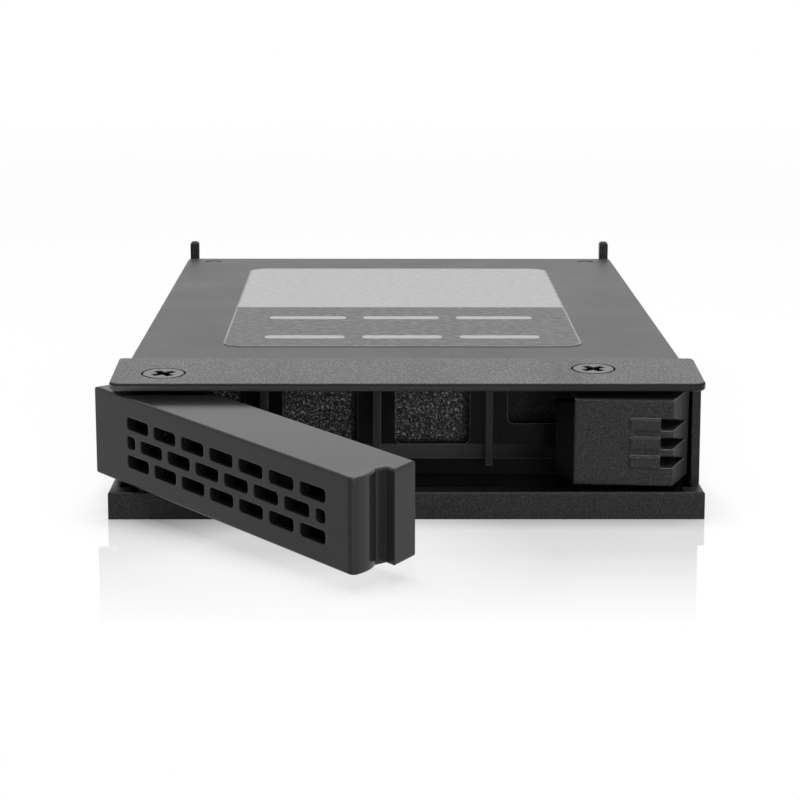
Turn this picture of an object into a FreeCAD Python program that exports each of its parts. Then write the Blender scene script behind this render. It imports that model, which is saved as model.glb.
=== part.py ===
import FreeCAD, Part
import math
import os

# A hot-swap tray for a 2.5 inch drive: a moulded tray with the drive screwed
# into it, a window wall at the front, and a cap plate held by two screws that
# are also the pivots of a swing-out lever and its release latch.
# It is drawn with the front of the sill at Y = 0 and moved at the end so that
# the origin is the middle of the base. X is to the right, Y to the rear, Z up.

# Drive carried by the tray, to the 2.5 inch form factor
drive_width = 69.85
drive_length = 100.2
drive_height = 15.0
drive_wall = 1.5
drive_corner_radius = 1.0
lid_thickness = 1.2
lid_edge_radius = 0.4
lid_gap = 0.1
mount_spacing = 61.72
mount_from_rear = (14.0, 90.6)
mount_side_height = 3.0
mount_boss_radius = 3.2
mount_boss_height = 6.0
drive_screw_reach = 3.0

# Tray
floor_thickness = 2.5
rail_wall = 1.2
rail_height = 11.5
drive_side_gap = 0.375
drive_front_gap = 0.7
drive_rear_gap = 0.3
sill_height = 3.4
sill_depth = 3.0
sill_edge_radius = 0.3
rear_post_width = 1.4
rear_post_depth = 1.6
rear_post_height = 20.2
rear_post_inset = 1.9
rear_post_tip_radius = 0.5
side_hole_radius = 1.8
floor_slot_width = 4.0
floor_slot_length = 26.0
floor_slot_spacing = 12.0
floor_slot_pairs = 2

# Front space: sill to window wall
recess_depth = 12.0
wall_thickness = 1.5
cheek_thickness = 1.05
cheek_front = 6.0
lip_depth = 0.7
lip_width = 1.2
fit_gap = 0.15
overrun = 1.0

# Window wall
wall_bottom = 5.1
wall_cap_gap = 0.25
window_pitch = 14.2
window_width = 9.4
window_centre = 3.4
window_indices = range(-2, 2)
shallow_window = 1
window_bottom = 7.0
window_top_margin = 1.6
window_radius = 0.8
shallow_window_rise = 2.6
rib_width = 1.0
rib_depth = 1.5
rib_drop = 0.6
rib_corner_radius = 0.2

# Cap plate and its two pivot screws, on the raked plane
rake_deg = 3.6
cap_thickness = 1.0
cap_drive_gap = 0.3
cap_left_inset = 0.3
cap_right_inset = 0.1
cap_front_radius = 1.4
cap_rear_left_radius = 0.5
cap_rear_right_radius = 0.8
cap_edge_radius = 0.3
screw_radius = 1.5
screw_core_radius = 1.25
screw_length = 8.0
screw_head_radius = 2.75
screw_sink_radius = 3.0
screw_slot_width = 1.05
screw_slot_span = 3.2
screw_slot_depth = 0.7
screw_slot_turn_deg = 38.0
pivot_head_radius = 2.5
pivot_ring_gap = 0.3
pivot_ring_depth = 0.3

# Lever
lever_depth = 9.95
lever_height = 11.0
lever_floor_gap = 1.9
lever_cap_gap = 0.45
lever_wall = 1.2
lever_front_wall = 1.4
lever_end_wall = 4.2
lever_edge_radius = 0.3
lever_nose_radius = 0.8
lever_nose_fall = 0.45
lever_nose_fall_at = 2.7
lever_open_deg = 52.3
lever_pivot_from_side = 6.56
lever_latch_gap = 5.2
lever_pivot_y = 5.5
lever_pivot_along = 4.4
lever_pivot_back = 7.2
lever_knuckle_height = 2.6
lever_rib_thickness = 1.0
lever_rib_depth = 4.0
lever_rib_count = 2
groove_depth = 1.5
groove_start = 4.35
groove_end = 5.8
lever_end_taper = 1.6
post_radius = 2.1
knuckle_wall = 0.65
pivot_gap = 0.1
post_shoulder = 1.2
vent_rows = 3
vent_start = 7.25
vent_pitch = 5.93
vent_gap = 1.2
vent_height = 1.59
vent_row_pitch = 2.38
vent_radius = 0.45
lever_spring_wire = 0.5
lever_spring_turns = 4.0
lever_spring_pitch = 0.75
lever_spring_leg = 7.0
lever_spring_tail = 5.9
lever_spring_tail_deg = 106.5
lever_cover_thickness = 1.0
lever_cover_corner_radius = 0.25

# Latch, drawn square to the front and then turned about its pivot
latch_pivot_from_side = 13.24
latch_pivot_y = 8.1
latch_turn_deg = -4.5
latch_left = 2.2
latch_right = 9.8
latch_side_run = 2.1
latch_front_back = 7.55
latch_block_depth = 6.2
latch_height = 10.9
latch_floor_gap = 1.45
latch_front_wall = 1.6
latch_edge_radius = 0.25
ridge_count = 3
ridge_pitch = 2.35
ridge_height = 1.5
ridge_length = 3.7
ridge_rise = 0.35
ridge_offset = 0.35
notch_depth = 5.4
latch_pocket_wall = 0.55
latch_pocket_back = 3.3
hook_reach = 2.35
hook_depth = 1.1
hook_height = 9.5
hook_back = 1.17
hook_ramp_back = 0.3
latch_spring_radius = 1.2
latch_spring_wire = 0.35
latch_spring_turns = 4.0
latch_spring_x = 5.98
coil_steps = 16
wire_sides = 8

# Label, board and connector of the drive
label_width = 47.1
label_length = 77.0
label_thickness = 0.12
label_radius = 3.0
label_offset_x = -0.3
label_from_front = 9.5
board_thickness = 1.2
board_margin = 3.0
chip_size = (18.0, 14.0, 1.2)
chip_columns = 2
chip_rows = 3
chip_gap = 5.0
controller_size = 17.0
controller_height = 1.4
controller_corner_radius = 0.5
connector_offset_x = 4.8
connector_width = 36.0
connector_height = 5.4
connector_block_depth = 5.0
tongue_depth = 4.6
tongue_thickness = 1.25
short_tongue = 10.4
shroud_gap = 0.05
tongue_gap = 2.4
tongue_key = 1.2
contact_width = 0.75
contact_pitch = 1.27
contact_thickness = 0.12
contact_length = 3.6
lid_screw_radius = 1.2
lid_screw_height = 0.9
lid_screw_length = 4.0
lid_screw_slot_width = 0.3
lid_screw_slot_depth = 0.4
lid_boss_radius = 2.4
lid_screw_inset = 4.4
lid_screw_from_rear = 4.2

# Places worked out from the sizes above
rake = math.radians(rake_deg)
tray_half = drive_width / 2 + drive_side_gap + rail_wall
lever_pivot_x = lever_pivot_from_side - tray_half
latch_pivot_x = tray_half - latch_pivot_from_side
lever_length = latch_pivot_x - lever_latch_gap - lever_pivot_x + lever_pivot_along
vent_columns = int((lever_length - lever_end_wall - vent_start + vent_gap) / vent_pitch)
rail_inner = tray_half - rail_wall
drive_front = recess_depth + wall_thickness + drive_front_gap
drive_rear = drive_front + drive_length
tray_length = drive_rear + drive_rear_gap + rear_post_depth
drive_bottom = floor_thickness
drive_top = drive_bottom + drive_height
lid_bottom = drive_top - lid_thickness
lever_bottom = floor_thickness + lever_floor_gap
lever_top = lever_bottom + lever_height
cap_underside = lever_top + lever_cap_gap
cap_depth = drive_front - cap_drive_gap
cap_top = cap_underside + cap_thickness
latch_bottom = floor_thickness + latch_floor_gap
bore_radius = post_radius + pivot_gap
knuckle_radius = bore_radius + knuckle_wall
cheek_inner = tray_half - cheek_thickness
mount_rows = [drive_rear - distance for distance in mount_from_rear]

V = FreeCAD.Vector
UP = V(0, 0, 1)
ALONG_X = V(1, 0, 0)
ALONG_Y = V(0, 1, 0)


def box(x, y, z):
    """Block between two corners, given as (low, high) pairs along each axis."""
    return Part.makeBox(x[1] - x[0], y[1] - y[0], z[1] - z[0], V(x[0], y[0], z[0]))


def rod(radius, x, y, z):
    """Upright cylinder between two heights."""
    return Part.makeCylinder(radius, z[1] - z[0], V(x, y, z[0]))


def upright_edges(shape):
    """Edges of a prism that run along Z."""
    return [e for e in shape.Edges if abs(e.tangentAt(e.FirstParameter).z) > 0.99]


def rounded_block(x, y, z, radius):
    """Block with its four upright edges rounded."""
    block = box(x, y, z)
    return block.makeFillet(radius, upright_edges(block))


def extrude_outline(edges, z):
    """Closed outline of edges in the XY plane, raised between two heights."""
    face = Part.Face(Part.Wire(edges))
    prism = face.extrude(V(0, 0, z[1] - z[0]))
    prism.translate(V(0, 0, z[0]))
    return prism


def line(start, end):
    return Part.LineSegment(V(*start, 0), V(*end, 0)).toShape()


def edges_at(shape, test):
    """Edges whose two ends both meet the test."""
    return [e for e in shape.Edges if all(test(v.Point) for v in (e.Vertexes[0], e.Vertexes[-1]))]


def near(value, target):
    return abs(value - target) < 1e-4


def raked(shape):
    """Tips a shape forward about the front lower edge of the cap plate."""
    tipped = shape.copy()
    tipped.rotate(V(0, 0, cap_underside), ALONG_X, rake_deg)
    return tipped


def flat_head_screw(x, y, top, length, head_radius):
    """Countersunk screw with a cross recess, head upward, ending at top - length."""
    head_depth = head_radius - screw_radius
    cone = Part.makeCone(screw_radius, head_radius, head_depth, V(x, y, top - head_depth))
    shank = rod(screw_core_radius, x, y, (top - length, top - head_depth))
    screw = cone.fuse(shank)
    half, span = screw_slot_width / 2, screw_slot_span / 2
    for quarter in (0, 90):
        slot = box((x - span, x + span), (y - half, y + half), (top - screw_slot_depth, top))
        slot.rotate(V(x, y, 0), UP, screw_slot_turn_deg + quarter)
        screw = screw.cut(slot)
    return screw.removeSplitter()


def coil(radius, wire, turns, pitch):
    """Coil spring body along Z from the origin, as a loft through sections of the wire."""
    sections = []
    count = round(turns * coil_steps)
    for step in range(count + 1):
        turned = turns * step / count
        outward = V(math.cos(2 * math.pi * turned), math.sin(2 * math.pi * turned), 0)
        centre = outward * radius + UP * (pitch * turned)
        ring = []
        for side in range(wire_sides):
            angle = 2 * math.pi * side / wire_sides
            ring.append(centre + outward * (wire / 2 * math.cos(angle)) + UP * (wire / 2 * math.sin(angle)))
        sections.append(Part.makePolygon(ring + ring[:1]))
    return Part.makeLoft(sections, True, True)


def pivot_posts():
    """Two posts that the lever and the latch turn on, with their screw holes."""
    posts = []
    for x, y, foot_top in ((lever_pivot_x, lever_pivot_y, lever_bottom - fit_gap),
                           (latch_pivot_x, latch_pivot_y, latch_bottom - fit_gap)):
        foot = floor_thickness / 2
        post = rod(post_radius, x, y, (foot, cap_underside))
        post = post.fuse(rod(post_radius + post_shoulder, x, y, (foot, foot_top)))
        sink = pivot_head_radius - cap_thickness
        post = post.cut(Part.makeCone(0, sink, sink, V(x, y, cap_underside - sink)))
        post = post.cut(rod(screw_core_radius, x, y, (cap_top - screw_length - overrun, cap_underside)))
        posts.append(raked(post))
    return posts


def long_slot(x, y, z):
    """Cutter for one long floor slot with round ends, centred on a place."""
    half = floor_slot_width / 2
    reach = floor_slot_length / 2 - half
    slot = box((x - half, x + half), (y - reach, y + reach), z)
    return slot.fuse([rod(half, x, y - reach, z), rod(half, x, y + reach, z)]).removeSplitter()


def make_tray():
    """One moulding: floor, sill, side rails, cheeks, rear posts and pivot posts."""
    floor = rounded_block((-tray_half, tray_half), (0, tray_length), (0, floor_thickness), sill_edge_radius)
    sill = box((-tray_half, tray_half), (0, sill_depth), (0, sill_height))
    front_top = edges_at(sill, lambda p: near(p.y, 0) and near(p.z, sill_height))
    end_top = edges_at(sill, lambda p: near(abs(p.x), tray_half) and near(p.z, sill_height))
    sill = sill.makeFillet(sill_edge_radius, front_top + [e for e in end_top if e.Length < tray_half])
    tray = floor.fuse(sill)

    rail_front = recess_depth
    for side in (-1, 1):
        rail_x = sorted((side * rail_inner, side * tray_half))
        rail = box(rail_x, (rail_front, tray_length), (0, rail_height))
        for y in mount_rows:
            hole = Part.makeCylinder(side_hole_radius, rail_wall + 2 * overrun,
                                     V(side * (rail_inner - overrun), y, drive_bottom + mount_side_height),
                                     V(side, 0, 0))
            rail = rail.cut(hole)
        corner = box(rail_x, (sill_depth / 2, rail_front), (0, sill_height))
        edge = edges_at(corner, lambda p: near(abs(p.x), tray_half) and near(p.z, sill_height))
        tray = tray.fuse([rail, corner.makeFillet(sill_edge_radius, edge)])

        post_outer = side * (tray_half - rear_post_inset)
        post_inner = post_outer - side * rear_post_width
        post_y = (drive_rear + drive_rear_gap, tray_length)
        post = box(sorted((post_inner, post_outer)), post_y, (0, rear_post_height))
        tip = edges_at(post, lambda p: near(p.z, rear_post_height))
        post = post.makeFillet(rear_post_tip_radius, tip)
        web = box(sorted((post_outer, side * rail_inner)), post_y, (0, rail_height))
        tray = tray.fuse([post, web])

        front = cheek_front if side > 0 else recess_depth - lip_depth - fit_gap
        cheek_x = sorted((side * cheek_inner, side * tray_half))
        cheek = box(cheek_x, (front, drive_front), (floor_thickness / 2, cap_underside - fit_gap))
        lip_x = sorted((side * (cheek_inner - lip_width), side * tray_half))
        lip_z = (floor_thickness / 2, cap_underside - fit_gap)
        front_lip = (recess_depth - lip_depth - fit_gap, recess_depth - fit_gap)
        rear_lip = (recess_depth + wall_thickness + fit_gap, drive_front - fit_gap)
        for lip_y in (front_lip, rear_lip):
            cheek = cheek.fuse(box(lip_x, lip_y, lip_z))
        cheek = cheek.fuse(box(lip_x, (front_lip[0], rear_lip[1]), (floor_thickness / 2, wall_bottom)))
        tray = tray.fuse(cheek)

    tray = tray.fuse(pivot_posts())

    middle = (drive_front + drive_rear) / 2
    for column in range(2 * floor_slot_pairs):
        x = (column - floor_slot_pairs + 0.5) * floor_slot_spacing
        for end in (-1, 1):
            y = middle + end * (floor_slot_length / 2 + floor_slot_width)
            tray = tray.cut(long_slot(x, y, (-overrun, floor_thickness + overrun)))
    for x in (-mount_spacing / 2, mount_spacing / 2):
        for y in mount_rows:
            tray = tray.cut(rod(screw_radius + fit_gap, x, y, (-overrun, floor_thickness + overrun)))
            depth = screw_sink_radius - screw_radius
            tray = tray.cut(Part.makeCone(screw_sink_radius, screw_radius, depth, V(x, y, 0)))
    return tray.removeSplitter()


def make_window_wall():
    """Upright insert behind the lever, with windows and slim ribs."""
    half = cheek_inner - fit_gap
    rise = recess_depth * math.tan(rake)
    top = cap_underside + rise - wall_cap_gap
    wall = box((-half, half), (recess_depth, recess_depth + wall_thickness), (wall_bottom, top))
    for index in window_indices:
        x = window_centre + index * window_pitch
        bottom = window_bottom + (shallow_window_rise if index == shallow_window else 0)
        window = box((x - window_width / 2, x + window_width / 2), (recess_depth - overrun, drive_front),
                     (bottom, top - window_top_margin))
        corners = [e for e in window.Edges if abs(e.tangentAt(e.FirstParameter).y) > 0.99]
        wall = wall.cut(window.makeFillet(window_radius, corners))
    for index in window_indices[:-1]:
        x = window_centre + (index + 0.5) * window_pitch
        rib = rounded_block((x - rib_width / 2, x + rib_width / 2),
                            (recess_depth - rib_depth, recess_depth + wall_thickness / 2),
                            (wall_bottom - rib_drop, cap_underside), rib_corner_radius)
        wall = wall.fuse(rib)
    return wall.removeSplitter()


def make_cap_plate():
    """Flat plate over the front, with two countersunk seats, each in an open ring."""
    left, right = cap_left_inset - tray_half, tray_half - cap_right_inset
    plate = box((left, right), (0, cap_depth), (cap_underside, cap_top))
    for radius, x, y in ((cap_front_radius, left, 0), (cap_front_radius, right, 0),
                         (cap_rear_left_radius, left, cap_depth), (cap_rear_right_radius, right, cap_depth)):
        corner = edges_at(plate, lambda p: near(p.x, x) and near(p.y, y))
        plate = plate.makeFillet(radius, corner)
    rim = edges_at(plate, lambda p: near(p.z, cap_top)) + edges_at(plate, lambda p: near(p.z, cap_underside))
    plate = plate.makeFillet(cap_edge_radius, rim)
    for x, y in ((lever_pivot_x, lever_pivot_y), (latch_pivot_x, latch_pivot_y)):
        seat = Part.makeCone(0, pivot_head_radius, pivot_head_radius, V(x, y, cap_top - pivot_head_radius))
        ring = Part.makeCone(pivot_head_radius + pivot_ring_gap / 2, pivot_head_radius + pivot_ring_gap,
                             pivot_ring_depth, V(x, y, cap_top - pivot_ring_depth))
        plate = plate.cut([seat, ring])
    return raked(plate)


def make_pivot_screws():
    """The two countersunk screws of the cap plate."""
    screws = [raked(flat_head_screw(x, y, cap_top, screw_length, pivot_head_radius))
              for x, y in ((lever_pivot_x, lever_pivot_y), (latch_pivot_x, latch_pivot_y))]
    return Part.makeCompound(screws)


def lever_outline():
    """Plan of the lever from its hinge end, with the rounded nose and the catch groove."""
    length, depth, nose = lever_length, lever_depth, lever_nose_radius
    inner = length - groove_depth
    corner = nose * (1 - math.sqrt(0.5))
    edge = Part.Arc(V(length - nose, 0, 0), V(length - corner, corner, 0), V(length, nose, 0)).toShape()
    fall = Part.Arc(V(length, nose, 0), V(length - lever_nose_fall, lever_nose_fall_at, 0),
                    V(inner, groove_start, 0)).toShape()
    points = [(inner, groove_start), (inner, groove_end), (length, groove_end),
              (length - lever_end_taper, depth), (0, depth), (0, 0), (length - nose, 0)]
    return [edge, fall] + [line(a, b) for a, b in zip(points, points[1:])]


def vent_cutters():
    """Slots through the lever's front in brick bond, the middle row with half slots at its ends."""
    cutters = []
    width = vent_pitch - vent_gap
    last = vent_start + (vent_columns - 1) * vent_pitch + width
    middle = lever_height / 2
    for row in range(vent_rows):
        z = middle + (row - (vent_rows - 1) / 2) * vent_row_pitch
        offset = vent_pitch / 2 if row % 2 else 0
        for column in range(-1 if offset else 0, vent_columns):
            start = max(vent_start, vent_start + column * vent_pitch + offset)
            end = min(last, vent_start + column * vent_pitch + offset + width)
            slot = box((start, end), (-overrun, lever_front_wall + overrun),
                       (z - vent_height / 2, z + vent_height / 2))
            corners = [e for e in slot.Edges if abs(e.tangentAt(e.FirstParameter).y) > 0.99]
            cutters.append(slot.makeFillet(vent_radius, corners))
    return cutters


def place_lever(shape):
    """From the lever's own plan to its open place on its pivot."""
    placed = shape.copy()
    placed.translate(V(lever_pivot_x - lever_pivot_along, lever_pivot_y - lever_pivot_back, lever_bottom))
    placed.rotate(V(lever_pivot_x, lever_pivot_y, 0), UP, -lever_open_deg)
    return raked(placed)


def make_lever_handle():
    """Hollow lever, open at the back, with vents in front and two knuckles round its post."""
    shell = extrude_outline(lever_outline(), (0, lever_height))
    rim = [e for e in shell.Edges if near(e.Vertexes[0].Z, e.Vertexes[-1].Z)]
    shell = shell.makeFillet(lever_edge_radius, rim)
    hollow = box((lever_wall, lever_length - lever_end_wall), (lever_front_wall, lever_depth + overrun),
                 (lever_wall, lever_height - lever_wall))
    shell = shell.cut(hollow)
    clear_span = lever_length - lever_end_wall - vent_start
    for index in range(lever_rib_count):
        x = vent_start + clear_span * (index + 1) / (lever_rib_count + 1)
        rib = box((x, x + lever_rib_thickness),
                  (lever_depth - lever_rib_depth, lever_depth - lever_cover_thickness),
                  (lever_wall, lever_height - lever_wall))
        shell = shell.fuse(rib)
    along, back = lever_pivot_along, lever_pivot_back
    for z in ((0, lever_knuckle_height), (lever_height - lever_knuckle_height, lever_height)):
        shell = shell.fuse(rod(knuckle_radius, along, back, z))
    shell = shell.cut(rod(bore_radius, along, back, (-overrun, lever_height + overrun)))
    shell = shell.cut(Part.makeCompound(vent_cutters()))
    return place_lever(shell.removeSplitter())


def make_lever_back_cover():
    """Flat cover pressed into the open back of the lever, clear of the knuckles."""
    start = lever_pivot_along + knuckle_radius + fit_gap
    return place_lever(rounded_block((start, lever_length - lever_end_wall - fit_gap),
                                     (lever_depth - lever_cover_thickness, lever_depth),
                                     (lever_wall + fit_gap, lever_height - lever_wall - fit_gap),
                                     lever_cover_corner_radius))


def make_lever_spring():
    """Torsion spring round the lever's post: one leg in the lever, a tail that winds on the window wall."""
    radius = post_radius + 2 * fit_gap + lever_spring_wire / 2
    turns = lever_spring_turns + lever_spring_tail_deg / 360
    body = coil(radius, lever_spring_wire, turns, lever_spring_pitch)
    bottom = (lever_height - turns * lever_spring_pitch) / 2
    body.translate(V(lever_pivot_along, lever_pivot_back, bottom))
    leg_radius = lever_spring_wire / 2 * math.cos(math.pi / wire_sides)
    start = V(lever_pivot_along, lever_pivot_back, bottom)
    leg = Part.makeCylinder(leg_radius, lever_spring_leg - radius, start + ALONG_X * radius, ALONG_X)
    turn = math.radians(lever_spring_tail_deg)
    tail_axis = V(math.cos(turn), math.sin(turn), 0)
    end = start + UP * (turns * lever_spring_pitch)
    tail = Part.makeCylinder(leg_radius, lever_spring_tail - radius, end + tail_axis * radius, tail_axis)
    return place_lever(body.fuse([leg, tail]))


def place_latch(shape):
    """From the latch's own plan, drawn about its pivot, to its place."""
    placed = shape.copy()
    placed.rotate(V(0, 0, 0), UP, latch_turn_deg)
    placed.translate(V(latch_pivot_x, latch_pivot_y, latch_bottom))
    return raked(placed)


def thumb_notch(front, span, x):
    """Cutter for one thumb notch: a wedge with a level floor, whose roof falls to nothing at the back."""
    profile = [V(x[0], front - overrun, span[0]), V(x[0], front + notch_depth, span[0]),
               V(x[0], front, span[1]), V(x[0], front - overrun, span[1])]
    face = Part.Face(Part.makePolygon(profile + profile[:1]))
    return face.extrude(ALONG_X * (x[1] - x[0]))


def make_latch():
    """Release latch: a block on its own post, ridged for the thumb, with a hook for the lever."""
    front = -latch_front_back
    back = front + latch_block_depth
    right = latch_right + latch_side_run
    points = [(-latch_left, front), (latch_right, front), (right, back), (latch_left, back),
              (latch_left, 0), (-latch_left, 0)]
    outline = [line(a, b) for a, b in zip(points, points[1:] + points[:1])]
    block = extrude_outline(outline, (0, latch_height))
    rim = [e for e in block.Edges if near(e.Vertexes[0].Y, front) and near(e.Vertexes[-1].Y, front)]
    block = block.makeFillet(latch_edge_radius, rim)
    block = block.fuse(rod(knuckle_radius, 0, 0, (0, latch_height)))
    block = block.cut(rod(bore_radius, 0, 0, (-overrun, latch_height + overrun)))
    ridge_end = latch_right - ridge_length / 2 + ridge_offset
    pocket = box((latch_left + bore_radius, ridge_end - latch_pocket_wall),
                 (front + latch_pocket_back, back + overrun),
                 (latch_front_wall, latch_height - latch_front_wall))
    block = block.cut(pocket)

    hook_front = front + hook_back
    hook_tip = -latch_left - hook_reach
    hook_points = [(-latch_left, front + hook_ramp_back), (hook_tip, hook_front + hook_depth / 2),
                   (hook_tip, hook_front + hook_depth), (-latch_left, hook_front + 2 * hook_depth)]
    hook_edges = [line(a, b) for a, b in zip(hook_points, hook_points[1:] + hook_points[:1])]
    hook_z = (latch_height - hook_height) / 2
    block = block.fuse(extrude_outline(hook_edges, (hook_z, hook_z + hook_height)))

    middle = latch_height / 2
    for index in range(ridge_count):
        z = middle + (index - (ridge_count - 1) / 2) * ridge_pitch
        span = (z - ridge_height / 2, z + ridge_height / 2)
        ridge = box((ridge_end - ridge_length, ridge_end), (front - ridge_rise, front + ridge_rise), span)
        crest = edges_at(ridge, lambda p: near(p.y, front - ridge_rise))
        block = block.fuse(ridge.makeFillet(ridge_rise / 2, crest))
        block = block.cut(thumb_notch(front, span, (ridge_end, right + overrun)))
    return place_latch(block.removeSplitter())


def make_latch_spring():
    """Small compression spring between the latch and the window wall."""
    front = latch_pocket_back - latch_front_back
    reach = recess_depth - latch_pivot_y - front - 2 * latch_spring_wire
    body = coil(latch_spring_radius, latch_spring_wire, latch_spring_turns, reach / latch_spring_turns)
    body.rotate(V(0, 0, 0), ALONG_X, -90)
    body.translate(V(latch_spring_x, front + latch_spring_wire, latch_height / 2))
    return place_latch(body)


def drive_footprint(z, inset=0.0):
    """Plan of the drive as a block between two heights, drawn in by inset."""
    half = drive_width / 2 - inset
    radius = max(drive_corner_radius - inset, drive_corner_radius / 4)
    return rounded_block((-half, half), (drive_front + inset, drive_rear - inset), z, radius)


def connector_window():
    """Opening in the rear wall of the drive for its connector."""
    half = connector_width / 2 + lid_gap
    return box((connector_offset_x - half, connector_offset_x + half),
               (drive_rear - 2 * drive_wall, drive_rear + overrun),
               (board_bottom(), board_bottom() + connector_height))


def board_bottom():
    return drive_bottom + drive_wall + mount_boss_height


def lid_screw_places():
    x = drive_width / 2 - lid_screw_inset
    y = drive_rear - lid_screw_from_rear
    return [(-x, y), (x, y)]


def make_drive_case():
    """Cast tub of the drive with its threaded bosses and the connector opening."""
    case = drive_footprint((drive_bottom, lid_bottom))
    case = case.cut(drive_footprint((drive_bottom + drive_wall, lid_bottom + overrun), drive_wall))
    for x in (-mount_spacing / 2, mount_spacing / 2):
        for y in mount_rows:
            case = case.fuse(rod(mount_boss_radius, x, y, (drive_bottom, board_bottom())))
            case = case.cut(rod(screw_core_radius, x, y, (drive_bottom - overrun, board_bottom() - overrun)))
            side = math.copysign(1, x)
            start = V(side * (drive_width / 2 + overrun), y, drive_bottom + mount_side_height)
            case = case.cut(Part.makeCylinder(screw_core_radius, overrun + drive_wall, start, V(-side, 0, 0)))
    for x, y in lid_screw_places():
        boss = rod(lid_boss_radius, x, y, (drive_bottom + drive_wall / 2, lid_bottom))
        thread = rod(lid_screw_radius / 2, x, y, (lid_bottom - lid_screw_length, lid_bottom))
        case = case.fuse(boss.cut(thread))
    return case.cut(connector_window()).removeSplitter()


def make_drive_lid():
    """Pressed lid with a softened edge, a locating lip and two screw seats."""
    lid = drive_footprint((lid_bottom, drive_top))
    rim = edges_at(lid, lambda p: near(p.z, drive_top))
    lid = lid.makeFillet(lid_edge_radius, rim)
    for x, y in lid_screw_places():
        seat = (drive_top - lid_screw_height, drive_top + overrun)
        lid = lid.cut(rod(lid_screw_radius + lid_gap, x, y, seat))
        lid = lid.cut(rod(lid_screw_radius / 2 + lid_gap, x, y, (lid_bottom - overrun, drive_top)))
    return lid.removeSplitter()


def make_lid_screws():
    """Two small lid screws at the rear corners, with a straight slot."""
    screws = []
    for x, y in lid_screw_places():
        top = drive_top - lid_gap
        head_bottom = drive_top - lid_screw_height
        screw = rod(lid_screw_radius, x, y, (head_bottom, top))
        screw = screw.fuse(rod(lid_screw_radius / 2, x, y, (top - lid_screw_length, head_bottom)))
        half = lid_screw_slot_width / 2
        slot = box((x - lid_screw_radius, x + lid_screw_radius), (y - half, y + half),
                   (top - lid_screw_slot_depth, top))
        screws.append(screw.cut(slot).removeSplitter())
    return Part.makeCompound(screws)


def make_drive_label():
    """Thin label with round corners, lying on the lid."""
    front = drive_front + label_from_front
    half = label_width / 2
    return rounded_block((label_offset_x - half, label_offset_x + half), (front, front + label_length),
                         (drive_top, drive_top + label_thickness), label_radius)


def board_span():
    half = drive_width / 2 - drive_wall - board_margin
    return (-half, half), (drive_front + drive_wall + board_margin, drive_rear - drive_wall - board_margin)


def make_drive_board():
    """Circuit board on the bosses, cut back round the lid screw bosses."""
    x, y = board_span()
    board = box(x, y, (board_bottom(), board_bottom() + board_thickness))
    for sx, sy in lid_screw_places():
        board = board.cut(rod(lid_boss_radius + 2 * fit_gap, sx, sy, (0, drive_top)))
    return board


def chip_places():
    """Middle of each memory chip, in two columns towards the front of the board."""
    y_start = board_span()[1][0] + chip_gap + chip_size[1] / 2
    for column in range(chip_columns):
        x = (column - (chip_columns - 1) / 2) * (chip_size[0] + chip_gap)
        for row in range(chip_rows):
            yield x, y_start + row * (chip_size[1] + chip_gap)


def make_memory_chips():
    top = board_bottom() + board_thickness
    chips = []
    for x, y in chip_places():
        half_x, half_y = chip_size[0] / 2, chip_size[1] / 2
        chips.append(box((x - half_x, x + half_x), (y - half_y, y + half_y), (top, top + chip_size[2])))
    return Part.makeCompound(chips)


def make_controller_chip():
    top = board_bottom() + board_thickness
    y = max(place[1] for place in chip_places()) + chip_size[1] / 2 + chip_gap
    half = controller_size / 2
    return rounded_block((-half, half), (y, y + controller_size), (top, top + controller_height),
                         controller_corner_radius)


def tongues():
    """The short and the long connector tongue: (x low, x high) and the height of their underside."""
    total = connector_width - 2 * (tongue_thickness + shroud_gap)
    x = connector_offset_x - total / 2
    z = board_bottom() + connector_height / 2
    spans = []
    for length in (short_tongue, total - tongue_gap - short_tongue):
        spans.append(((x, x + length), z))
        x += length + tongue_gap
    return spans


def make_drive_connector():
    """Plug body on the board's rear edge, with two keyed tongues inside a shroud."""
    half = connector_width / 2
    base_y = (drive_rear - tongue_depth - connector_block_depth, drive_rear - tongue_depth)
    base_z = (board_bottom() + board_thickness, board_bottom() + connector_height - lid_gap)
    plug = box((connector_offset_x - half, connector_offset_x + half), base_y, base_z)
    tongue_y = (drive_rear - tongue_depth - overrun, drive_rear)
    for (x0, x1), z in tongues():
        plug = plug.fuse(box((x0, x1), tongue_y, (z, z + tongue_thickness)))
        plug = plug.fuse(box((x0, x0 + tongue_thickness), tongue_y, (z - tongue_key, z)))
    for side in (-1, 1):
        x = connector_offset_x + side * half
        wall = box(sorted((x, x - side * tongue_thickness)), tongue_y, base_z)
        plug = plug.fuse(wall)
    return plug.removeSplitter()


def make_drive_contacts():
    """Contact strips on the upper face of the tongues."""
    strips = []
    for (x0, x1), z in tongues():
        room = x1 - x0 - tongue_thickness - contact_width
        count = int(room / contact_pitch)
        start = (x0 + tongue_thickness + x1 - count * contact_pitch) / 2
        top = z + tongue_thickness
        for index in range(count + 1):
            x = start + index * contact_pitch
            strips.append(box((x - contact_width / 2, x + contact_width / 2),
                              (drive_rear - contact_length - fit_gap, drive_rear - fit_gap),
                              (top, top + contact_thickness)))
    return Part.makeCompound(strips)


def make_drive_screws():
    """Four countersunk screws from below, through the floor into the drive."""
    top = floor_thickness + drive_screw_reach
    recess = screw_sink_radius - screw_head_radius
    screws = []
    for x in (-mount_spacing / 2, mount_spacing / 2):
        for y in mount_rows:
            screw = flat_head_screw(x, y, 0, top - recess, screw_head_radius)
            screw.rotate(V(x, y, 0), ALONG_X, 180)
            screw.translate(V(0, 0, recess))
            screws.append(screw)
    return Part.makeCompound(screws)


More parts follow.
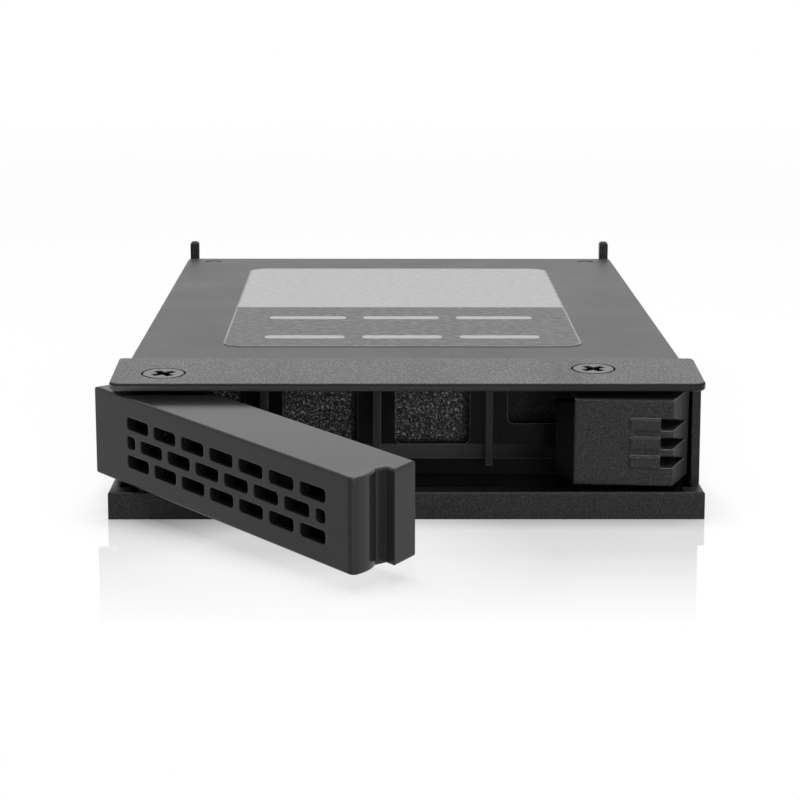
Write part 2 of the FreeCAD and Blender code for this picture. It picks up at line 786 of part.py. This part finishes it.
nodes = {
    "tray": make_tray,
    "window_wall": make_window_wall,
    "cap_plate": make_cap_plate,
    "pivot_screws": make_pivot_screws,
    "lever_handle": make_lever_handle,
    "lever_back_cover": make_lever_back_cover,
    "lever_spring": make_lever_spring,
    "latch": make_latch,
    "latch_spring": make_latch_spring,
    "drive_case": make_drive_case,
    "drive_lid": make_drive_lid,
    "lid_screws": make_lid_screws,
    "drive_label": make_drive_label,
    "drive_board": make_drive_board,
    "memory_chips": make_memory_chips,
    "controller_chip": make_controller_chip,
    "drive_connector": make_drive_connector,
    "drive_contacts": make_drive_contacts,
    "drive_screws": make_drive_screws,
}

os.makedirs("parts", exist_ok=True)
for name, make in nodes.items():
    shape = make()
    shape.translate(V(0, -tray_length / 2, 0))
    shape.exportStep("parts/" + name + ".step")
    sizes = [round(shape.Volume, 1), len(shape.Solids), shape.isValid()]
    print(name, sizes)
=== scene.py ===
from math import cos, radians, sin, tan

import bpy
from mathutils import Matrix, Vector


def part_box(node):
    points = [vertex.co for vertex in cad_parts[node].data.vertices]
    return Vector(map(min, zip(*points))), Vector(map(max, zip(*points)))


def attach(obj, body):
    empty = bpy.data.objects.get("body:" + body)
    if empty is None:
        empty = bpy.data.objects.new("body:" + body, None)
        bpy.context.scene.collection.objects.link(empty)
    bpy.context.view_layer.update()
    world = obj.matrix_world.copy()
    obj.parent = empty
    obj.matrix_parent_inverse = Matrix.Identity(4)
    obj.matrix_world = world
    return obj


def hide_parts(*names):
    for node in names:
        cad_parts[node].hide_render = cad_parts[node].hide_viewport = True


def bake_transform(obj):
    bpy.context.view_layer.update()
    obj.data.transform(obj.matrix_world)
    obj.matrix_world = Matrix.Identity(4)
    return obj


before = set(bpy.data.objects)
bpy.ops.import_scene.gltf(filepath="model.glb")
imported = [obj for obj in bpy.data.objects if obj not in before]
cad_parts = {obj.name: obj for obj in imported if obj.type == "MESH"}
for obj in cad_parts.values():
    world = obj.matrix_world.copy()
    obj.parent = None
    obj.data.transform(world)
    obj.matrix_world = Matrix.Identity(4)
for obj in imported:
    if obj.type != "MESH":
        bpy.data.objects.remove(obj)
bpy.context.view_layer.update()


# Tray: one black moulding with floor, sill, side rails, cheeks, rear posts and pivot posts.
# Its tool was spark eroded, which leaves a fine grain.
# It is polished where the floor lies open in front of the wall, and on top of the sill.
def put(tree, kind, inputs, **settings):
    """Adds a node with its settings, and links or sets each of its inputs. A short kind is a shader node."""
    node = tree.nodes.new(kind if "Node" in kind else "ShaderNode" + kind)
    for name, value in settings.items():
        setattr(node, name, value)
    for key, value in inputs.items():
        if isinstance(value, bpy.types.NodeSocket):
            tree.links.new(value, node.inputs[key])
        else:
            node.inputs[key].default_value = value
    return node


def sockets(group, inputs, outputs):
    """Gives a node group its named inputs and outputs, and returns the sockets for them inside it."""
    for way, kinds in (("INPUT", inputs), ("OUTPUT", outputs)):
        for name, kind in kinds.items():
            group.interface.new_socket(name, in_out=way, socket_type="NodeSocket" + kind)
    return group.nodes.new("NodeGroupInput").outputs, group.nodes.new("NodeGroupOutput").inputs


def calc(tree, operation, first, second=0.0, third=0.0):
    """One sum on up to three values. COMPARE gives 1 where the first lies within the third of the second."""
    return put(tree, "Math", {0: first, 1: second, 2: third}, operation=operation).outputs[0]


def ramp(tree, value, start, end, low=0.0, high=1.0):
    """A value that goes from low to high as another goes from start to end."""
    return put(tree, "MapRange", {"Value": value, "From Min": start, "From Max": end, "To Min": low,
                                  "To Max": high}).outputs["Result"]


def vector(tree, operation, first, second=(0.0, 0.0, 0.0)):
    """One sum on two vectors, as a vector or, where that is what it gives, as a value."""
    result = put(tree, "VectorMath", {0: first, 1: second}, operation=operation).outputs
    return result["Value" if operation in ("DOT_PRODUCT", "LENGTH", "DISTANCE") else "Vector"]


def axes(tree, place):
    """The place along X, Y and Z."""
    return put(tree, "SeparateXYZ", {"Vector": place}).outputs


def tint(tree, share, first, second):
    """A colour that goes from first to second as share goes from 0 to 1. A single value is a grey."""
    ends = [(end, end, end) if isinstance(end, float) else end for end in (first, second)]
    ends = [(*end, 1.0) if isinstance(end, tuple) else end for end in ends]
    return put(tree, "Mix", {0: share, 6: ends[0], 7: ends[1]}, data_type="RGBA").outputs[2]


def lay_over(tree, shader, name, share, value):
    """Replaces what a socket of the shader shows by another value where share is 1."""
    under = shader.inputs[name].links[0].from_socket
    if name == "Base Color":
        mixed = tint(tree, share, under, value)
    else:
        mixed = put(tree, "Mix", {0: share, 2: under, 3: value}).outputs[0]
    tree.links.new(mixed, shader.inputs[name])


def polish(tree, shader, bump, share, grey, gloss):
    """Takes the grain away and sets the grey and gloss of a rubbed or polished face where share is 1."""
    lay_over(tree, shader, "Base Color", share, grey)
    lay_over(tree, shader, "Roughness", share, gloss)
    tree.links.new(calc(tree, "SUBTRACT", 1.0, share), bump.inputs["Strength"])


def inside(tree, place, middle, half):
    """1 inside a box with the given middle and half lengths."""
    across = axes(tree, place)
    share = 1.0
    for along, centre, reach in zip("XYZ", middle, half):
        share = calc(tree, "MULTIPLY", calc(tree, "COMPARE", across[along], centre, reach), share)
    return share


def make_grain():
    """Surface grain: a height between grains of one size, flecks on some of them, and slow patches."""
    group = bpy.data.node_groups.new("surface_grain", "ShaderNodeTree")
    given, result = sockets(group, {"Place": "Vector", "Grains": "Float", "Patches": "Float"},
                            {"Height": "Float", "Fleck": "Float", "Patch": "Float"})
    fine = put(group, "TexNoise", {"Vector": given["Place"], "Scale": given["Grains"], "Detail": 2.0,
                                   "Roughness": 0.65}).outputs["Fac"]
    slow = put(group, "TexNoise", {"Vector": given["Place"], "Scale": given["Patches"], "Detail": 3.0,
                                   "Roughness": 0.55}).outputs["Fac"]
    group.links.new(fine, result["Height"])
    group.links.new(ramp(group, fine, 0.44, 0.70), result["Fleck"])
    group.links.new(ramp(group, slow, 0.3, 0.7), result["Patch"])
    return group


surface_grain = make_grain()


def new_finish(name):
    """An empty material with its shader, and the place on the piece that its patterns follow."""
    material = bpy.data.materials.new(name)
    material.use_nodes = True
    tree = material.node_tree
    shader = tree.nodes["Principled BSDF"]
    return material, tree, shader, put(tree, "TexCoord", {}).outputs["Object"]


def grained(name, tones, gloss, grains, relief, edge, fleck, patches=90.0, shine=0.5, metal=0.0,
            run=(1.0, 1.0, 1.0)):
    """A finish with grain.

    Tones (cool greys or colours) and gloss change from patch to patch. Grains and patches are counted per
    metre, relief is the height of a grain and fleck its tone, edge rounds the edges, run draws the grain out.
    """
    material, tree, shader, place = new_finish(name)
    grain = put(tree, "Group", {"Place": vector(tree, "MULTIPLY", place, run), "Grains": grains,
                                "Patches": patches}, node_tree=surface_grain).outputs
    tones = [tone if isinstance(tone, tuple) else (tone, tone, 1.03 * tone) for tone in tones]
    tree.links.new(tint(tree, grain["Patch"], *tones), shader.inputs["Base Color"])
    tree.links.new(ramp(tree, grain["Patch"], 0.0, 1.0, *gloss), shader.inputs["Roughness"])
    lay_over(tree, shader, "Base Color", grain["Fleck"], fleck)
    rounded = put(tree, "Bevel", {"Radius": edge}, samples=4).outputs["Normal"]
    bump = put(tree, "Bump", {"Height": grain["Height"], "Distance": relief, "Normal": rounded})
    tree.links.new(bump.outputs["Normal"], shader.inputs["Normal"])
    shader.inputs["Specular IOR Level"].default_value = shine
    shader.inputs["Metallic"].default_value = metal
    return material, tree, shader, place, bump


def wear_finish(material, *nodes):
    """Puts a finish on solids of the frame."""
    for node in nodes:
        for material_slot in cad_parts[node].material_slots:
            material_slot.material = material


tray_finish, tree, shader, place, bump = grained(
    "tray_plastic", tones=(0.006, 0.010), gloss=(0.32, 0.42), grains=5000.0, relief=0.000018, edge=0.00015,
    fleck=0.034, shine=0.15)
floor_middle, floor_half = (0.0, -0.0501, 0.0025), (0.0354, 0.0060, 0.0001)
sill_middle, sill_half = (0.0, -0.0565, 0.0034), (0.0340, 0.0014, 0.0001)
on_floor = inside(tree, place, floor_middle, floor_half)
on_sill = inside(tree, place, sill_middle, sill_half)
polish(tree, shader, bump, calc(tree, "MAXIMUM", on_floor, on_sill), grey=0.004, gloss=0.12)
wear_finish(tray_finish, "tray")


# Window wall: a glossy black insert behind the lever, slid down into lips of the tray.
# A polished moulding with a faint waviness from the mould, and rounded window edges painted pale as painted
# highlights.
# The band under the windows is painted greyer as painted light, fading into painted shade towards the latch,
# and the fronts of the ribs are painted greyer as painted highlights.
def edges(tree, bump):
    """1 on the rounded edges of a piece, and the way they look."""
    rounded = bump.inputs["Normal"].links[0].from_socket
    flat = put(tree, "NewGeometry", {}).outputs["True Normal"]
    return ramp(tree, vector(tree, "DOT_PRODUCT", rounded, flat), 0.99, 0.85), rounded


wall_finish, tree, shader, place, bump = grained(
    "wall_plastic", tones=(0.004, 0.006), gloss=(0.20, 0.28), grains=900.0, relief=0.000010, edge=0.00015,
    fleck=0.008, shine=0.05)
# Painted light: the band under the windows is paler, and fades towards the latch where its shade falls.
band_middle, band_half = (0.0, -0.0470, 0.0060), (0.0354, 0.0100, 0.0010)
band_from, band_full = 0.016, 0.004
painted_light_under_windows = calc(tree, "MULTIPLY", inside(tree, place, band_middle, band_half),
                     ramp(tree, axes(tree, place)["X"], band_from, band_full))
lay_over(tree, shader, "Base Color", painted_light_under_windows, (0.076, 0.076, 0.078))
# Painted highlights: the fronts of the ribs are paler.
rib_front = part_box("window_wall")[0].y + 0.0002
on_ribs = calc(tree, "LESS_THAN", axes(tree, place)["Y"], rib_front)
lay_over(tree, shader, "Base Color", on_ribs, (0.042, 0.042, 0.043))
# Painted highlights: all rounded edges of the wall are paler.
lay_over(tree, shader, "Base Color", edges(tree, bump)[0], 0.32)
wear_finish(wall_finish, "window_wall")


# Cap plate: a flat steel plate across the front, held by the two pivot screws.
# Powder coated in dark grey, with the coat's coarse grain on top and painted shade in a dark crease along the
# rolled rim.
# The rim is darker than the top, and painted paler towards the lever's hinge as painted light that makes up
# for the shade there.
rake = radians(3.6)
plate_foot = 0.01585
front_edge = -0.05815


def plate_height(tree, place):
    """The height over the raked underside of the plate."""
    across = axes(tree, place)
    up = calc(tree, "MULTIPLY", calc(tree, "SUBTRACT", across["Z"], plate_foot), cos(rake))
    back = calc(tree, "MULTIPLY", calc(tree, "SUBTRACT", across["Y"], front_edge), sin(rake))
    return calc(tree, "SUBTRACT", up, back)


plate_finish, tree, shader, place, bump = grained(
    "cap_coat", tones=(0.018, 0.024), gloss=(0.28, 0.36), grains=4200.0, relief=0.000050, edge=0.00015,
    fleck=0.125, shine=0.2, run=(1.0, 0.3, 1.0))
crease_height, crease_half = 0.00085, 0.00011
# Painted light: the rim's grey rises towards the lever's hinge.
rim_light_from, rim_light_full = 0.0200, -0.0365
rim_black, rim_grey = 0.007, 0.064
height = plate_height(tree, place)
rim_light = ramp(tree, axes(tree, place)["X"], rim_light_from, rim_light_full, rim_black, rim_grey)
rim_tone = put(tree, "CombineColor", {0: rim_light, 1: rim_light, 2: rim_light}).outputs[0]
lay_over(tree, shader, "Base Color", calc(tree, "LESS_THAN", height, crease_height), rim_tone)
# Painted shade: the crease is painted near black and rough.
in_crease = calc(tree, "COMPARE", height, crease_height, crease_half)
lay_over(tree, shader, "Base Color", in_crease, 0.003)
lay_over(tree, shader, "Roughness", in_crease, 0.7)
wear_finish(plate_finish, "cap_plate")


# Pivot screws: two countersunk cross-recess screws that hold the plate, and that lever and latch turn about.
# Black zinc on steel, rubbed lighter on the heads where the driver has slipped, and painted black down in the
# recess as painted shade.
screw_finish, tree, shader, place, bump = grained(
    "pivot_screw_zinc", tones=(0.08, 0.14), gloss=(0.34, 0.46), grains=6000.0, relief=0.000005, edge=0.00012,
    fleck=0.20, patches=700.0, metal=0.6)
head_height = 0.001
# Painted shade: the recess below the head is painted near black.
recess_from, recess_full = 0.00005, 0.00025
below_head = calc(tree, "SUBTRACT", head_height, plate_height(tree, place))
lay_over(tree, shader, "Base Color", ramp(tree, below_head, recess_from, recess_full), 0.004)
wear_finish(screw_finish, "pivot_screws")


# Lever: a hollow moulded handle with vents in its front, and a cover snapped into its back.
# Smooth satin plastic, finer grained than the tray because fingers pull at it, and painted paler at the nose
# as painted light.
lever_finish, tree, shader, place, bump = grained(
    "lever_plastic", tones=(0.006, 0.009), gloss=(0.12, 0.16), grains=6000.0, relief=0.000005, edge=0.00022,
    fleck=0.018, shine=0.2)
swing = radians(52.3)
lever_pivot = (-0.02994, -0.05266, 0.0162)
# Painted light: the nose at the lever's end is painted paler.
nose_from = 0.0455
nose_middle, nose_half = -0.00425, 0.00285
lengthwise = (cos(swing), -sin(swing), 0.0)
backwards = (sin(swing), cos(swing), cos(swing) * tan(rake))
from_pivot = vector(tree, "SUBTRACT", place, lever_pivot)
at_end = calc(tree, "GREATER_THAN", vector(tree, "DOT_PRODUCT", from_pivot, lengthwise), nose_from)
in_depth = calc(tree, "COMPARE", vector(tree, "DOT_PRODUCT", from_pivot, backwards), nose_middle, nose_half)
lay_over(tree, shader, "Base Color", calc(tree, "MULTIPLY", in_depth, at_end), (0.024, 0.024, 0.025))
wear_finish(lever_finish, "lever_handle")
cover_finish = grained(
    "cover_plastic", tones=(0.004, 0.006), gloss=(0.45, 0.55), grains=7000.0, relief=0.000006, edge=0.00015,
    fleck=0.008, shine=0.2)[0]
wear_finish(cover_finish, "lever_back_cover")


# Springs: a torsion spring round the lever's post and a compression spring behind the latch.
# Drawn steel wire, blackened in oil, with fine marks from the die.
# The latch spring sits on the wall at one end and follows the latch at the other.
steel_finish = grained(
    "spring_steel", tones=(0.06, 0.10), gloss=(0.34, 0.46), grains=9000.0, relief=0.000003, edge=0.00005,
    fleck=0.14, patches=900.0, metal=1.0)[0]
wear_finish(steel_finish, "lever_spring", "latch_spring")
latch_coil = bpy.data.objects.new("latch_coil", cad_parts["latch_spring"].data.copy())
bpy.context.scene.collection.objects.link(latch_coil)
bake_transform(latch_coil)
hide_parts("latch_spring")


# Latch: the release latch on the right screw, with three ridges and three notches for the thumb.
# Grained black plastic like the tray, smooth on the hook that the lever slides over, where it is painted near
# black as painted shade.
# Its edges that look up are painted pale as painted highlights, apart from those of the hook.
latch_finish, tree, shader, place, bump = grained(
    "latch_plastic", tones=(0.022, 0.027), gloss=(0.32, 0.42), grains=5200.0, relief=0.000018, edge=0.00020,
    fleck=0.058, shine=0.05)
hook_right = 0.02045
least_upward = 0.1
# Painted shade: the hook is painted near black and its grain taken out.
on_hook = calc(tree, "LESS_THAN", axes(tree, place)["X"], hook_right)
polish(tree, shader, bump, on_hook, grey=0.001, gloss=0.30)
# Painted highlights: the upward-looking edges are painted pale.
on_edge, looks = edges(tree, bump)
upward = calc(tree, "MULTIPLY", on_edge, calc(tree, "GREATER_THAN", axes(tree, looks)["Z"], least_upward))
beside_hook = calc(tree, "MAXIMUM", calc(tree, "SUBTRACT", upward, on_hook), 0.0)
lay_over(tree, shader, "Base Color", beside_hook, 0.30)
wear_finish(latch_finish, "latch")


# Drive case: a tub of die-cast aluminium, whose rough end shows through the windows.
# Painted black, with the grit of a blasted casting above the tray's floor, and smooth paint below that is
# painted darker as painted shade.
# Its end is painted darker towards the latch as painted shade, where the latch and plate shade it.
case_finish, tree, shader, place, bump = grained(
    "drive_casting", tones=(0.010, 0.026), gloss=(0.38, 0.60), grains=4200.0, relief=0.000050, edge=0.00020,
    fleck=0.17, patches=2600.0, shine=0.1)
grit_foot = 0.0056
# Painted shade: below the grit the case is painted darker and smooth.
below_grit = calc(tree, "LESS_THAN", axes(tree, place)["Z"], grit_foot)
polish(tree, shader, bump, below_grit, grey=0.004, gloss=0.40)
end_middle, end_half = (0.0, -0.0450, 0.0110), (0.0354, 0.0030, 0.0110)
dark_from, dark_full = 0.008, 0.012
least_end_shade, most_end_shade = 0.35, 0.85
# Painted shade: the end of the case is darkened more towards the latch.
dimmed = calc(tree, "MULTIPLY", inside(tree, place, end_middle, end_half),
              ramp(tree, axes(tree, place)["X"], dark_from, dark_full, least_end_shade, most_end_shade))
lay_over(tree, shader, "Base Color", dimmed, 0.002)
wear_finish(case_finish, "drive_case")


# Casting grit: the sharp grains that stand out of the blasted end of the drive, behind the windows.
# Black paint over cast aluminium, each grain a small facetted body half sunk into the face.
grit_finish = grained(
    "grit_paint", tones=(0.010, 0.165), gloss=(0.12, 0.30), grains=2500.0, relief=0.000004, edge=0.00003,
    fleck=0.65, patches=2600.0)[0]


def grit_tree():
    """Grains scattered over a row of upright fields that face the front."""
    tree = bpy.data.node_groups.new("casting_grit", "GeometryNodeTree")
    given, result = sockets(tree, {"First": "Vector", "Pitch": "Vector", "Fields": "Int", "Width": "Float",
                                   "Height": "Float", "Density": "Float", "Grain": "Float", "Seed": "Int",
                                   "Finish": "Material"}, {"Geometry": "Geometry"})
    full_turn = (6.28, 6.28, 6.28)
    smallest, largest = 0.5, 1.4

    def step(kind, inputs, **settings):
        return put(tree, kind, inputs, **settings).outputs

    places = step("GeometryNodeMeshLine", {"Count": given["Fields"], "Start Location": given["First"],
                                           "Offset": given["Pitch"]})
    face = step("GeometryNodeMeshGrid", {"Size X": given["Width"], "Size Y": given["Height"], "Vertices X": 2,
                                         "Vertices Y": 2})
    face = step("GeometryNodeTransform", {"Geometry": face["Mesh"], "Rotation": (radians(90), 0, 0)})
    faces = step("GeometryNodeInstanceOnPoints", {"Points": places["Mesh"], "Instance": face["Geometry"]})
    faces = step("GeometryNodeRealizeInstances", {"Geometry": faces["Instances"]})
    points = step("GeometryNodeDistributePointsOnFaces", {"Mesh": faces["Geometry"], "Seed": given["Seed"],
                                                          "Density": given["Density"]})
    grain = step("GeometryNodeMeshIcoSphere", {"Radius": given["Grain"], "Subdivisions": 1})
    turn = step("FunctionNodeRandomValue", {0: (0, 0, 0), 1: full_turn, "Seed": given["Seed"]},
                data_type="FLOAT_VECTOR")
    size = step("FunctionNodeRandomValue", {2: smallest, 3: largest, "Seed": given["Seed"]},
                data_type="FLOAT")
    grains = step("GeometryNodeInstanceOnPoints", {"Points": points["Points"], "Instance": grain["Mesh"],
                                                   "Rotation": turn[0], "Scale": size[1]})
    grains = step("GeometryNodeRealizeInstances", {"Geometry": grains["Instances"]})
    grains = step("GeometryNodeSetMaterial", {"Geometry": grains["Geometry"], "Material": given["Finish"]})
    tree.links.new(grains["Geometry"], result["Geometry"])
    return tree


def grow(name, tree, **given):
    """The plain mesh object that a node tree makes from its named inputs."""
    holder = bpy.data.objects.new(name + "_holder", bpy.data.meshes.new(name + "_holder"))
    bpy.context.scene.collection.objects.link(holder)
    modifier = holder.modifiers.new(name, "NODES")
    modifier.node_group = tree
    for item in tree.interface.items_tree:
        if item.in_out == "INPUT":
            modifier[item.identifier] = given[item.name.lower()]
    grown = holder.evaluated_get(bpy.context.evaluated_depsgraph_get())
    piece = bpy.data.objects.new(name, bpy.data.meshes.new_from_object(grown))
    bpy.data.objects.remove(holder)
    bpy.context.scene.collection.objects.link(piece)
    return piece


case_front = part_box("drive_case")[0].y
window_pitch = 0.0142
first_window = -0.0255
grit_low, grit_high = 0.0072, 0.0152
casting_grit = grow("casting_grit", grit_tree(), first=(first_window, case_front, (grit_low + grit_high) / 2),
                    pitch=(window_pitch, 0.0, 0.0), fields=3, width=0.0086, height=grit_high - grit_low,
                    density=1.7e7, grain=0.00010, seed=7, finish=grit_finish)
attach(casting_grit, "tray")


# Drive lid: a flat pressed lid over the tub, held by the case's edge and two small screws.
# Satin anodised aluminium in dark grey, even all over.
lid_finish = grained(
    "drive_cover", tones=(0.026, 0.032), gloss=(0.42, 0.50), grains=6500.0, relief=0.000005, edge=0.00020,
    fleck=0.036, patches=60.0, shine=0.4)[0]
wear_finish(lid_finish, "drive_lid")


# Small screws: four countersunk screws from below that hold the drive, and two in the lid.
# Black zinc on steel, worn at the heads.
zinc_finish = grained(
    "screw_black", tones=(0.06, 0.12), gloss=(0.34, 0.46), grains=6000.0, relief=0.000005, edge=0.00012,
    fleck=0.16, patches=700.0, metal=0.6)[0]
wear_finish(zinc_finish, "lid_screws", "drive_screws")


# Label: a printed film on the lid, with a pale rear field, and a dark front field with two rows of pale bars.
# The dark ink is slightly mottled, and the cut edge of the film shows pale.
def make_field():
    """A printed field: a mask that is 1 inside a rounded rectangle, and the distance from its edge."""
    group = bpy.data.node_groups.new("printed_field", "ShaderNodeTree")
    given, result = sockets(group, {"Place": "Vector", "Middle": "Vector", "Half": "Vector",
                                    "Corner": "Float"}, {"Mask": "Float", "Distance": "Float"})
    blur = 0.00004
    apart = vector(group, "ABSOLUTE", vector(group, "SUBTRACT", given["Place"], given["Middle"]))
    apart = vector(group, "SUBTRACT", apart, given["Half"])
    round_by = put(group, "CombineXYZ", {0: given["Corner"], 1: given["Corner"]}).outputs[0]
    apart = vector(group, "ADD", apart, round_by)
    beyond = vector(group, "LENGTH", vector(group, "MAXIMUM", apart))
    across = axes(group, apart)
    within = calc(group, "MINIMUM", calc(group, "MAXIMUM", across["X"], across["Y"]), 0.0)
    distance = calc(group, "SUBTRACT", calc(group, "ADD", beyond, within), given["Corner"])
    group.links.new(ramp(group, distance, -blur, blur, 1.0, 0.0), result["Mask"])
    group.links.new(distance, result["Distance"])
    return group


printed_field = make_field()


def field(tree, place, x0, y0, x1, y1, corner):
    """A printed field from one corner to the other, at any height up to a metre."""
    return put(tree, "Group", {"Place": place, "Middle": ((x0 + x1) / 2, (y0 + y1) / 2, 0.0),
                               "Half": ((x1 - x0) / 2, (y1 - y0) / 2, 1.0), "Corner": corner},
               node_tree=printed_field).outputs


label_finish, tree, shader, place = new_finish("label_film")
grain = put(tree, "Group", {"Place": place, "Grains": 2600.0, "Patches": 900.0},
            node_tree=surface_grain).outputs
ink = tint(tree, grain["Patch"], (0.018, 0.018, 0.019), (0.060, 0.060, 0.062))
paper = tint(tree, grain["Patch"], (0.32, 0.32, 0.325), (0.35, 0.35, 0.355))
label_low, label_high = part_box("drive_label")
label_corner = 0.003
rear_from, past_end, sharp_corner = 0.0001, 0.01, 0.0001
rear_field = field(tree, place, label_low.x, rear_from, label_high.x, label_high.y + past_end, sharp_corner)
printed = tint(tree, rear_field["Mask"], ink, paper)
bar_rows = (-0.0099, -0.0269)
bar_pitch = 0.013
bar_half = (0.0053, 0.0013)
bar_corner = 0.0008
for row in bar_rows:
    for column in (-1, 0, 1):
        middle = (label_low.x + label_high.x) / 2 + column * bar_pitch
        bar = field(tree, place, middle - bar_half[0], row - bar_half[1], middle + bar_half[0],
                    row + bar_half[1], bar_corner)
        printed = tint(tree, bar["Mask"], printed, paper)
film = field(tree, place, label_low.x, label_low.y, label_high.x, label_high.y, label_corner)
cut_from, cut_full = -0.0003, -0.00018
printed = tint(tree, ramp(tree, film["Distance"], cut_from, cut_full), printed, 0.2)
tree.links.new(printed, shader.inputs["Base Color"])
tree.links.new(ramp(tree, grain["Patch"], 0.0, 1.0, 0.32, 0.56), shader.inputs["Roughness"])
bump = put(tree, "Bump", {"Height": grain["Height"], "Distance": 0.000030})
tree.links.new(bump.outputs["Normal"], shader.inputs["Normal"])
wear_finish(label_finish, "drive_label")


# Board and chips: the circuit board screwed into the tub, with its memory chips and one controller.
# Green solder mask over a glass weave, and matt black moulded chips.
solder_green, weave_green = (0.010, 0.075, 0.035), (0.018, 0.110, 0.052)
board_finish = grained(
    "board", tones=(solder_green, solder_green), gloss=(0.34, 0.42), grains=2500.0, relief=0.000006,
    edge=0.00010, fleck=weave_green)[0]
wear_finish(board_finish, "drive_board")
chip_finish = grained(
    "chip_black", tones=(0.018, 0.026), gloss=(0.55, 0.65), grains=6000.0, relief=0.000008, edge=0.00012,
    fleck=0.03)[0]
wear_finish(chip_finish, "memory_chips", "controller_chip")


# Plug: the rear plug of the drive, a black moulding with two keyed tongues and its contact strips.
# Glass-filled plastic, and gold flashed strips that are scratched by the socket.
plug_finish = grained(
    "plug_black", tones=(0.014, 0.020), gloss=(0.36, 0.46), grains=5000.0, relief=0.000008, edge=0.00012,
    fleck=0.03)[0]
wear_finish(plug_finish, "drive_connector")
gold, pale_gold = (0.70, 0.50, 0.18), (0.86, 0.66, 0.30)
gold_finish = grained(
    "contact_gold", tones=(gold, gold), gloss=(0.22, 0.34), grains=8000.0, relief=0.000003, edge=0.00005,
    fleck=pale_gold, patches=1200.0, metal=1.0)[0]
wear_finish(gold_finish, "drive_contacts")


# Studio: a wide pale floor, a white room, a soft lamp above and two smaller ones in front.
# The floor and the room look white to the camera and in reflections, and light the piece more gently.
# In front of the tray the floor shows its mirror image, which fades out, and its glow is raised under the
# lever as painted light that makes the lever's shadow faint.
def seen_directly(tree):
    """1 where the camera sees a surface itself or in a reflection."""
    path = put(tree, "LightPath", {}).outputs
    seen = calc(tree, "MAXIMUM", path["Is Camera Ray"], path["Is Glossy Ray"])
    return calc(tree, "MAXIMUM", seen, path["Is Transmission Ray"])


white = (1.0, 1.0, 1.0, 1.0)
room_light = 0.35
room = bpy.data.worlds.new("white_room")
bpy.context.scene.world = room
room.use_nodes = True
tree = room.node_tree
background = tree.nodes["Background"]
background.inputs["Color"].default_value = white
tree.links.new(ramp(tree, seen_directly(tree), 0.0, 1.0, room_light, 1.0), background.inputs["Strength"])

reach = 4.0
floor_mesh = bpy.data.meshes.new("studio_floor")
floor_mesh.from_pydata([(-reach, -reach, 0), (reach, -reach, 0), (reach, reach, 0), (-reach, reach, 0)], [],
                       [(0, 1, 2, 3)])
floor = bpy.data.objects.new("studio_floor", floor_mesh)
bpy.context.scene.collection.objects.link(floor)
floor_finish, tree, shader, place = new_finish("studio_floor")
shader.inputs["Base Color"].default_value = (0.90, 0.90, 0.90, 1.0)
shader.inputs["Roughness"].default_value = 0.05
near_piece, far_off, near_white = 0.10, 0.60, 0.45
whiteness = ramp(tree, vector(tree, "LENGTH", place), near_piece, far_off, near_white, 1.0)
# Painted light: near the lever the floor's glow is raised, so its shadow there stays faint.
lever_middle = (-0.013, -0.076, 0.0)
shadow_core, shadow_end, shadow_white = 0.012, 0.030, 0.62
from_lever = vector(tree, "DISTANCE", place, lever_middle)
under_lever = ramp(tree, from_lever, shadow_core, shadow_end, shadow_white, 0.0)
fade_from, fade_end = 0.016, 0.048
mirror_half, mirror_end = 0.036, 0.046
across = axes(tree, place)
in_front = calc(tree, "SUBTRACT", front_edge, across["Y"])
fading = ramp(tree, in_front, fade_from, fade_end, under_lever, 1.0)
mirror = ramp(tree, calc(tree, "ABSOLUTE", across["X"]), mirror_end, mirror_half)
mirror = calc(tree, "MULTIPLY", mirror, calc(tree, "GREATER_THAN", in_front, 0.0))
mirror = calc(tree, "MULTIPLY", mirror, put(tree, "LightPath", {}).outputs["Is Camera Ray"])
whiteness = ramp(tree, mirror, 0.0, 1.0, whiteness, fading)
glow = put(tree, "Emission", {"Color": white, "Strength": 1.0})
share = calc(tree, "MULTIPLY", seen_directly(tree), whiteness)
floor_look = put(tree, "MixShader", {0: share, 1: shader.outputs["BSDF"], 2: glow.outputs["Emission"]})
tree.links.new(floor_look.outputs["Shader"], tree.nodes["Material Output"].inputs["Surface"])
floor_mesh.materials.append(floor_finish)


def lamp(name, place, size, power):
    """A soft square lamp that points at the piece."""
    light = bpy.data.lights.new(name, "AREA")
    light.size = size
    light.energy = power
    stand = bpy.data.objects.new(name, light)
    stand.location = place
    stand.rotation_euler = (-Vector(place)).to_track_quat("-Z", "Y").to_euler()
    bpy.context.scene.collection.objects.link(stand)


lamp("overhead_lamp", place=(0.0, 0.0, 0.9), size=0.5, power=5.6)
lamp("edge_lamp", place=(0.0, -0.8, 0.85), size=0.15, power=3.0)
lamp("right_lamp", place=(0.25, -0.9, 0.12), size=0.3, power=1.25)


# Camera: where the photograph was taken from, as fitted to the edges of the drive, plate, sill and lever.
# A long lens looking down by about ten degrees.
eye = Vector((-0.003449, -0.358501, 0.070593))
yaw, pitch, roll = (radians(angle) for angle in (0.498, 10.513, 0.0982))
ahead = Vector((sin(yaw) * cos(pitch), cos(yaw) * cos(pitch), -sin(pitch)))
level = Vector((cos(yaw), -sin(yaw), 0.0))
upright = level.cross(ahead)
sideways = cos(roll) * level + sin(roll) * upright
above = cos(roll) * upright - sin(roll) * level
lens = bpy.data.cameras.new("camera")
lens.sensor_width = 36.0
lens.lens = 113.297
lens.clip_start = 0.01
camera = bpy.data.objects.new("camera", lens)
camera.matrix_world = Matrix.Translation(eye) @ Matrix((sideways, above, -ahead)).transposed().to_4x4()
bpy.context.scene.collection.objects.link(camera)
bpy.context.scene.camera = camera
bpy.context.scene.view_settings.view_transform = "Standard"
